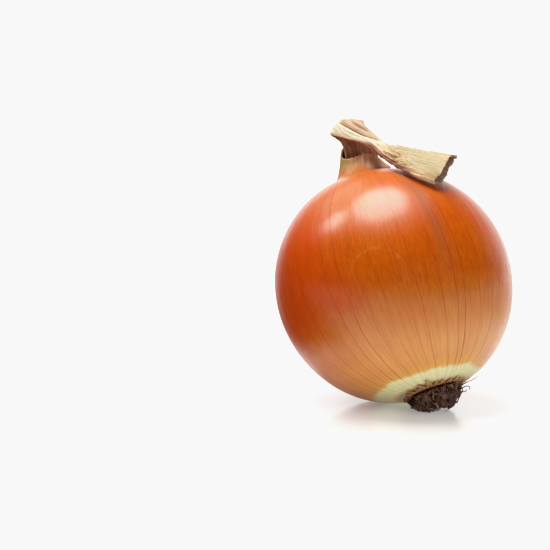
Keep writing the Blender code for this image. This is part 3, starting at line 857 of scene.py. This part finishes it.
def clear_of_globe(points, lift):
    """The points, pushed out to lie at least that far off the globe."""
    sheared = points.copy()
    sheared[..., 0] += LEAN * points[..., 2]
    distance = np.linalg.norm(sheared, axis=-1)
    angle = np.arccos(np.clip(sheared[..., 2] / distance, -1, 1))
    longitude = np.arctan2(sheared[..., 1], sheared[..., 0])
    surface = globe_points(angle, longitude)
    surface[..., 0] += LEAN * surface[..., 2]
    least = np.linalg.norm(surface, axis=-1) + lift
    sheared *= np.maximum(1, least / distance)[..., None]
    sheared[..., 0] -= LEAN * sheared[..., 2]
    return sheared


def fringe_finish():
    graph = Graph(bpy.data.materials.new("torn_skin_look"))
    grain = graph.mark("grain", vector=True)
    parts = graph.node("SeparateXYZ", {0: grain})
    fibres = graph.noise(graph.vector("MULTIPLY", grain, (3.2, 0.35, 1.0)), 1.0, 4.0, 0.65)
    tone = graph.ramp(fibres, ((0.3, (0.26, 0.11, 0.05)), (0.5, (0.50, 0.26, 0.12)), (0.7, (0.74, 0.47, 0.24))))
    low = graph.step(parts.outputs[1], 0.0, 2.0, 0.45, 0.0)
    base = graph.mix(low, tone, colour(0.16, 0.075, 0.040))
    normal = graph.bump(fibres, 0.15, 0.8)
    return graph.finish(Base_Color=base, Roughness=0.62, Normal=normal, Specular_IOR_Level=0.4)


def make_fringe():
    """The torn end of an older skin: a ragged ring on the bulb, and teeth in two layers that curl off it."""
    draw = random.Random(SEED)
    bundle = Bundle()
    sides = 240
    longitude = np.arange(sides) * 2 * math.pi / sides
    ragged = field(flat_unit(longitude), (9, 9, 9), 2.4) + 0.6 * field(flat_unit(longitude), (26, 26, 26), 6.6)
    edge = FRINGE_EDGE - 0.6 + 0.5 * ragged
    rings = []
    for share, lift in ((0.0, 0.12), (0.35, 0.16), (0.7, 0.18), (1.0, 0.16), (1.0, 0.05), (0.5, -0.05), (0.0, -0.1)):
        rings.append(root_end_points(FRINGE_INNER + (edge - FRINGE_INNER) * share, longitude, lift))
    rings.append(rings[0])
    points = np.array(rings[:-1])
    rows = len(points)
    faces = grid_faces(rows, sides, True)
    index = np.arange(rows * sides).reshape(rows, sides)
    after = np.roll(index, -1, axis=1)
    faces += np.stack([index[-1], after[-1], after[0], index[0]], -1).tolist()
    across = np.broadcast_to(longitude * FRINGE_EDGE, (rows, sides))
    out = np.array((0, 0.5, 1, 1.4, 1.4, 0.7, 0))[:, None] * np.ones(sides)
    grain = np.stack([across, out, np.zeros_like(out)], -1).reshape(-1, 3)
    bundle.add(points.reshape(-1, 3).tolist(), faces, grain=grain.tolist())
    for layer, teeth in enumerate((52, 26, len(FRONT_TEETH))):
        for tooth in range(teeth):
            middle = (tooth + draw.uniform(-0.35, 0.35)) * 2 * math.pi / teeth
            longest = 0.25 + 0.75 * (0.5 + 0.5 * math.cos(middle - FRINGE_LONGEST)) ** 2
            tall = FRINGE_TOOTH * longest * (draw.uniform(0.1, 0.5) if layer else draw.uniform(0.05, 0.35))
            half = (draw.uniform(0.6, 1.1) if layer else draw.uniform(0.3, 0.6)) / FRINGE_EDGE
            if layer == 2:
                middle, tall = math.radians(FRONT_TEETH[tooth][0]), FRONT_TEETH[tooth][1]
                half = draw.uniform(1.1, 1.5) / FRINGE_EDGE
            skew = draw.uniform(-0.6, 0.6) / FRINGE_EDGE
            curl = draw.uniform(0.0, 0.25) + 0.10 * layer
            blade_rows, blade_columns = 7, 5
            top, bottom, marks = [], [], []
            for row in range(blade_rows):
                up = row / (blade_rows - 1)
                wide = half * (1 - up) ** 0.85 + 0.004
                for column in range(blade_columns):
                    beside = 2 * column / (blade_columns - 1) - 1
                    turn = middle + wide * beside + skew * up**2
                    far = FRINGE_EDGE - 0.9 + (tall + 0.9) * up
                    cup = 0.12 * beside**2
                    lift = 0.12 + 0.10 * layer + curl * up**2 + cup
                    top.append((far, turn, lift + 0.05))
                    bottom.append((far, turn, lift - 0.05))
                    marks.append((turn * FRINGE_EDGE + 37 * tooth, 0.6 + 3.4 * up, layer))
            places = np.array(top + bottom)
            blade = root_end_points(places[:, 0], places[:, 1], places[:, 2])
            count = blade_rows * blade_columns
            faces = grid_faces(blade_rows, blade_columns, False)
            faces += [face[::-1] for face in grid_faces(blade_rows, blade_columns, False, count)]
            rim = [*range(blade_columns)]
            rim += [row * blade_columns + blade_columns - 1 for row in range(1, blade_rows)]
            rim += [count - 1 - column for column in range(1, blade_columns)]
            rim += [row * blade_columns for row in range(blade_rows - 2, 0, -1)]
            for near, far in zip(rim, rim[1:] + rim[:1]):
                faces.append((near, far, far + count, near + count))
            bundle.add(blade.tolist(), faces, grain=marks + marks)
    vertices = on_floor(np.array(bundle.vertices), 0.02)
    make_piece(
        "torn_fringe", vertices, bundle.faces, fringe_finish(), "skin_fringe",
        {"grain": np.array(bundle.marks["grain"])},
    )


def root_finish():
    graph = Graph(bpy.data.materials.new("dead_root_look"))
    grain = graph.mark("grain", vector=True)
    shade = graph.mark("shade")
    fibres = graph.noise(graph.vector("MULTIPLY", grain, (2.5, 2.5, 0.5)), 1.0, 4.0, 0.65)
    mixed = graph.math("MULTIPLY_ADD", graph.math("SUBTRACT", fibres, 0.5), 0.55, shade)
    base = graph.ramp(
        mixed,
        ((0.10, (0.036, 0.024, 0.021)), (0.45, (0.12, 0.071, 0.058)), (0.72, (0.26, 0.15, 0.108)), (0.98, (0.46, 0.28, 0.185))),
    )
    normal = graph.bump(fibres, 0.2, 0.9)
    return graph.finish(Base_Color=base, Roughness=0.68, Normal=normal, Specular_IOR_Level=0.45)


def strand_path(draw, middle, axes, loose):
    """A dead root from the plate, which curls and then runs along the outside of the mat."""
    share = draw.random() ** 0.4
    longitude = draw.uniform(0, 2 * math.pi)
    place = np.array((math.cos(longitude), math.sin(longitude), 0)) * ROOT_REACH * share
    place[2] = draw.uniform(-3.0, 0.2)
    outward = np.array((math.cos(longitude), math.sin(longitude), 0))
    sideways = np.array((-outward[1], outward[0], 0))
    heading = outward * draw.uniform(-0.3, 0.6) + sideways * draw.uniform(-1.5, 1.5)
    heading[2] = draw.uniform(-1.0, 0.3)
    swirl = draw.uniform(-1.0, 1.0)
    phase = draw.uniform(0, 100)
    steps = draw.randint(8, 15)
    reach = draw.uniform(1.05, 1.18) if loose else 1.0
    path = []
    for step in range(steps):
        path.append(place.copy())
        drift = np.array([noise.noise(Vector((phase + axis * 9.1, step * 0.33, axis))) for axis in range(3)])
        flat = np.array((place[0], place[1], 0))
        heading = heading + drift * 1.1 + 0.10 * swirl * np.cross((0, 0, 1), flat) / ROOT_REACH
        heading /= np.linalg.norm(heading)
        place = place + heading * STRAND_STEP
        wide = math.hypot(place[0], place[1]) / ROOT_REACH
        room = reach + 0.05 + (0.06 + 0.05 * max(place[0] / ROOT_REACH, 0.0)) * min(place[2], 0.0)
        if wide > room:
            place[:2] *= room / wide
            heading[:2] *= 0.3
            wide = room
        deep = RIM_ROOT_LENGTH + (ROOT_LENGTH - RIM_ROOT_LENGTH) * (1 - min(wide, 1.0) ** 2)
        deep = (deep + PLATE_THICKNESS) * reach * (1 - 0.42 * max(place[0] / ROOT_REACH, 0.0))
        if place[2] < -deep:
            place[2] = -deep
            heading[2] = abs(heading[2]) * 0.1
        top = 0.4 - 0.6 * max(0.0, wide - 0.7) / 0.3
        if place[2] > top:
            place[2] = top
            heading[2] = -0.3
    return middle + np.array(path) @ axes


def make_roots():
    """The root plate and its mat of dead roots, some of them flat strips, with a few stray ends."""
    draw = random.Random(SEED + 1)
    middle, axes = plate_frame()
    finish = root_finish()
    bundle = Bundle()
    rings = []
    turn = np.arange(72) * 2 * math.pi / 72
    for deep, wide in ((0, 0.2), (0, 0.7), (0, 1), (0.5, 1.02), (1.1, 0.99), (1.7, 0.92), (2.1, 0.6), (2.2, 0.2)):
        ring = np.stack([np.cos(turn), np.sin(turn), np.zeros_like(turn)], -1) * PLATE_RADIUS * wide * 0.93
        lumps = field(ring, (0.9, 0.9, 1), deep + 1.1) * 0.35
        ring[:, 2] = -deep - lumps * (deep > 1)
        rings.append(middle + ring @ axes)
    vertices, faces = tube_mesh(np.array(rings))
    bundle.add(vertices, faces, grain=vertices, shade=[0.3] * len(vertices))
    for index in range(STRANDS):
        loose = index % 6 == 0
        path = strand_path(draw, middle, axes, loose)
        flat = draw.random() < 0.4 and not loose
        radius = draw.uniform(0.42, 0.85) if flat else draw.uniform(0.16, 0.36)
        taper = np.linspace(1, 0.35, len(path))
        path = clear_of_globe(path, radius * 0.6 + 0.1)
        path = on_floor(path, radius + 0.05)
        sides = 6
        vertices, faces = tube(path, taper * radius, sides, 0.3 if flat else 0.8, 0.12 if flat else 0.0)
        shade = min(1.0, max(0.0, draw.gauss(0.44, 0.17) + (0.12 if flat else 0.0)))
        along = np.append(np.repeat(np.arange(len(path)) * STRAND_STEP, sides), (0, len(path) * STRAND_STEP))
        around = np.append(np.tile(np.arange(sides) * 0.3, len(path)), (0, 0))
        grain = np.stack([around + index * 3.7, around * 0.5, along], -1)
        bundle.add(vertices, faces, grain=grain.tolist(), shade=[shade] * len(vertices))
    for path in STRAY_ROOTS:
        path = spline(path, np.linspace(0, len(path) - 1, 12))
        vertices, faces = tube(clear_of_globe(middle + path @ axes, 0.3), np.linspace(0.24, 0.14, 12), 6)
        bundle.add(vertices, faces, grain=vertices, shade=[0.6] * len(vertices))
    vertices = on_floor(np.array(bundle.vertices), 0.03)
    marks = {name: np.array(values) for name, values in bundle.marks.items()}
    make_piece("root_mat", vertices, bundle.faces, finish, "root_tuft", marks)


def make_floor():
    """A plain pale floor. On the left the bulb is lit and mirrored darker by it, as if by another onion there, and in
    the bulb's mirror image it is painted warm brown near by and far off.
    """
    bm = bmesh.new()
    bmesh.ops.create_grid(bm, x_segments=1, y_segments=1, size=8.0)
    mesh = bpy.data.meshes.new("floor")
    bm.to_mesh(mesh)
    bm.free()
    graph = Graph(bpy.data.materials.new("pale_floor"))
    place = graph.node("TexCoord", {}).outputs["Object"]
    tone = graph.mix(graph.noise(place, 3.0, 2.0), colour(0.79, 0.79, 0.79), colour(0.81, 0.81, 0.81))
    x, y, _ = graph.node("SeparateXYZ", {0: place}).outputs
    beside = graph.math("MULTIPLY", graph.step(x, -0.028, -0.065), graph.step(y, -0.08, -0.04))
    near = graph.step(graph.vector("DISTANCE", place, (-0.024, -0.012, 0.0)), 0.036, 0.014, 0.0, 0.35)
    beside = graph.math("MAXIMUM", beside, near)
    rays = graph.node("LightPath", {}).outputs
    shady = graph.math("MULTIPLY", beside, graph.math("SUBTRACT", 1.0, rays["Is Camera Ray"]))
    away = graph.vector("LENGTH", place)
    # Painted reflection: only in mirror images is the floor tinted warm brown, near the bulb and far off, but not in a
    # ring about 8 cm out.
    plain = graph.step(graph.math("ABSOLUTE", graph.math("SUBTRACT", away, 0.08)), 0.02, 0.06, 0.0, 0.6)
    tone = graph.mix(graph.math("MULTIPLY", rays["Is Glossy Ray"], plain), tone, colour(0.42, 0.24, 0.11))
    glow = graph.math("ADD", graph.step(away, 0.008, 0.030, 0.18, 0.32), graph.step(away, 0.1, 1.3, 0.0, 0.6))
    mesh.materials.append(
        graph.finish(
            Base_Color=graph.mix(shady, tone, colour(0.22, 0.06, 0.01)), Roughness=0.15,
            Specular_IOR_Level=0.7, Emission_Color=colour(1, 1, 1),
            Emission_Strength=graph.math("MULTIPLY", glow, graph.math("MULTIPLY_ADD", shady, -0.9, 1.0)),
        )
    )
    floor = bpy.data.objects.new("floor", mesh)
    bpy.context.scene.collection.objects.link(floor)
    floor.location.z = -0.0002


def area_light(name, place, aim, width, depth, power, tint=(1, 1, 1)):
    data = bpy.data.lights.new(name, "AREA")
    data.shape = "ELLIPSE"
    data.size, data.size_y = width, depth
    data.energy = power
    data.color = tint
    light = bpy.data.objects.new(name, data)
    light.location = place
    light.rotation_euler = (Vector(aim) - Vector(place)).to_track_quat("-Z", "Y").to_euler()
    bpy.context.scene.collection.objects.link(light)
    return light


def make_lights():
    """A softbox overhead with a weaker, broader one round it, a smaller one to the left, a weak one in front
    that the skin doesn't mirror, and a pale room that is bright behind the onion and dim on its left and on
    the camera's side."""
    area_light("softbox_above", (-0.13, 0.08, 0.94), (0, 0, 0.04), 0.76, 0.60, 9.2, (1.0, 0.985, 0.96))
    area_light("broad_above", (-0.06, 0.04, 1.0), (0, 0, 0.04), 1.15, 0.95, 2.4, (1.0, 0.985, 0.96))
    area_light("softbox_left", (-0.70, 0.16, 0.76), (0, 0, 0.05), 0.28, 0.32, 2.4, (1.0, 0.98, 0.95))
    area_light("softbox_behind", (-0.44, 0.60, 0.72), (0, 0, 0.05), 0.6, 0.4, 0.8)
    fill = area_light("fill_in_front", (0.20, -0.9, 0.36), (0, 0, 0.03), 0.5, 0.3, 0.9)
    fill.visible_glossy = False
    fill = area_light("fill_right", (0.72, -0.55, 0.42), (0, 0, 0.04), 0.4, 0.4, 1.1)
    fill.visible_glossy = False
    world = bpy.data.worlds.new("studio")
    bpy.context.scene.world = world
    graph = Graph(world, "Background")
    x, y, z = graph.node("SeparateXYZ", {0: graph.node("TexCoord", {}).outputs["Generated"]}).outputs
    bright = graph.math("MULTIPLY", graph.step(y, 0.30, 0.85), graph.step(x, -0.70, -0.25, 0.04, 1.0))
    bright = graph.math("MULTIPLY", bright, graph.step(z, 0.15, 0.50, 1.3, 0.10))
    bright = graph.math("ADD", bright, 0.03)
    seen = graph.node("LightPath", {}).outputs["Is Camera Ray"]
    graph.finish(Color=colour(1, 1, 1), Strength=graph.step(seen, 0.0, 1.0, bright, 0.95))


def make_camera():
    """The photograph's view: a long lens, a little above the onion, aimed so that the globe stands where it
    does in the photograph."""
    up = Vector((0, math.sin(CAMERA_PITCH), math.cos(CAMERA_PITCH)))
    towards = Vector((0, -math.cos(CAMERA_PITCH), math.sin(CAMERA_PITCH)))
    right = Vector((1, 0, 0))
    aim = BULB_CENTRE.copy()
    aim += right * (PIXELS / 2 - GLOBE_PIXEL[0]) * PIXEL + up * (GLOBE_PIXEL[1] - PIXELS / 2) * PIXEL
    data = bpy.data.cameras.new("camera")
    data.sensor_width = SENSOR
    data.lens = CAMERA_DISTANCE * SENSOR / (PIXELS * PIXEL)
    camera = bpy.data.objects.new("camera", data)
    camera.matrix_world = Matrix.Translation(aim + towards * CAMERA_DISTANCE) @ Matrix(
        (right, up, towards)
    ).transposed().to_4x4()
    bpy.context.scene.collection.objects.link(camera)
    bpy.context.scene.camera = camera


def set_tones():
    """Plain tones, in which the overexposed floor comes out as the photograph's very pale grey."""
    view = bpy.context.scene.view_settings
    view.view_transform = "Standard"
    view.use_curve_mapping = True
    view.curve_mapping.extend = "HORIZONTAL"
    curve = view.curve_mapping.curves[3]
    curve.points[1].location = (1.0, WHITEST)
    curve.points.new(WHITEST - 0.1, WHITEST - 0.1)
    for place in TOE:
        curve.points.new(*place)
    view.curve_mapping.update()


make_camera()
make_floor()
make_lights()
make_skin()
make_neck()
make_threads()
make_fringe()
make_roots()
set_tones()
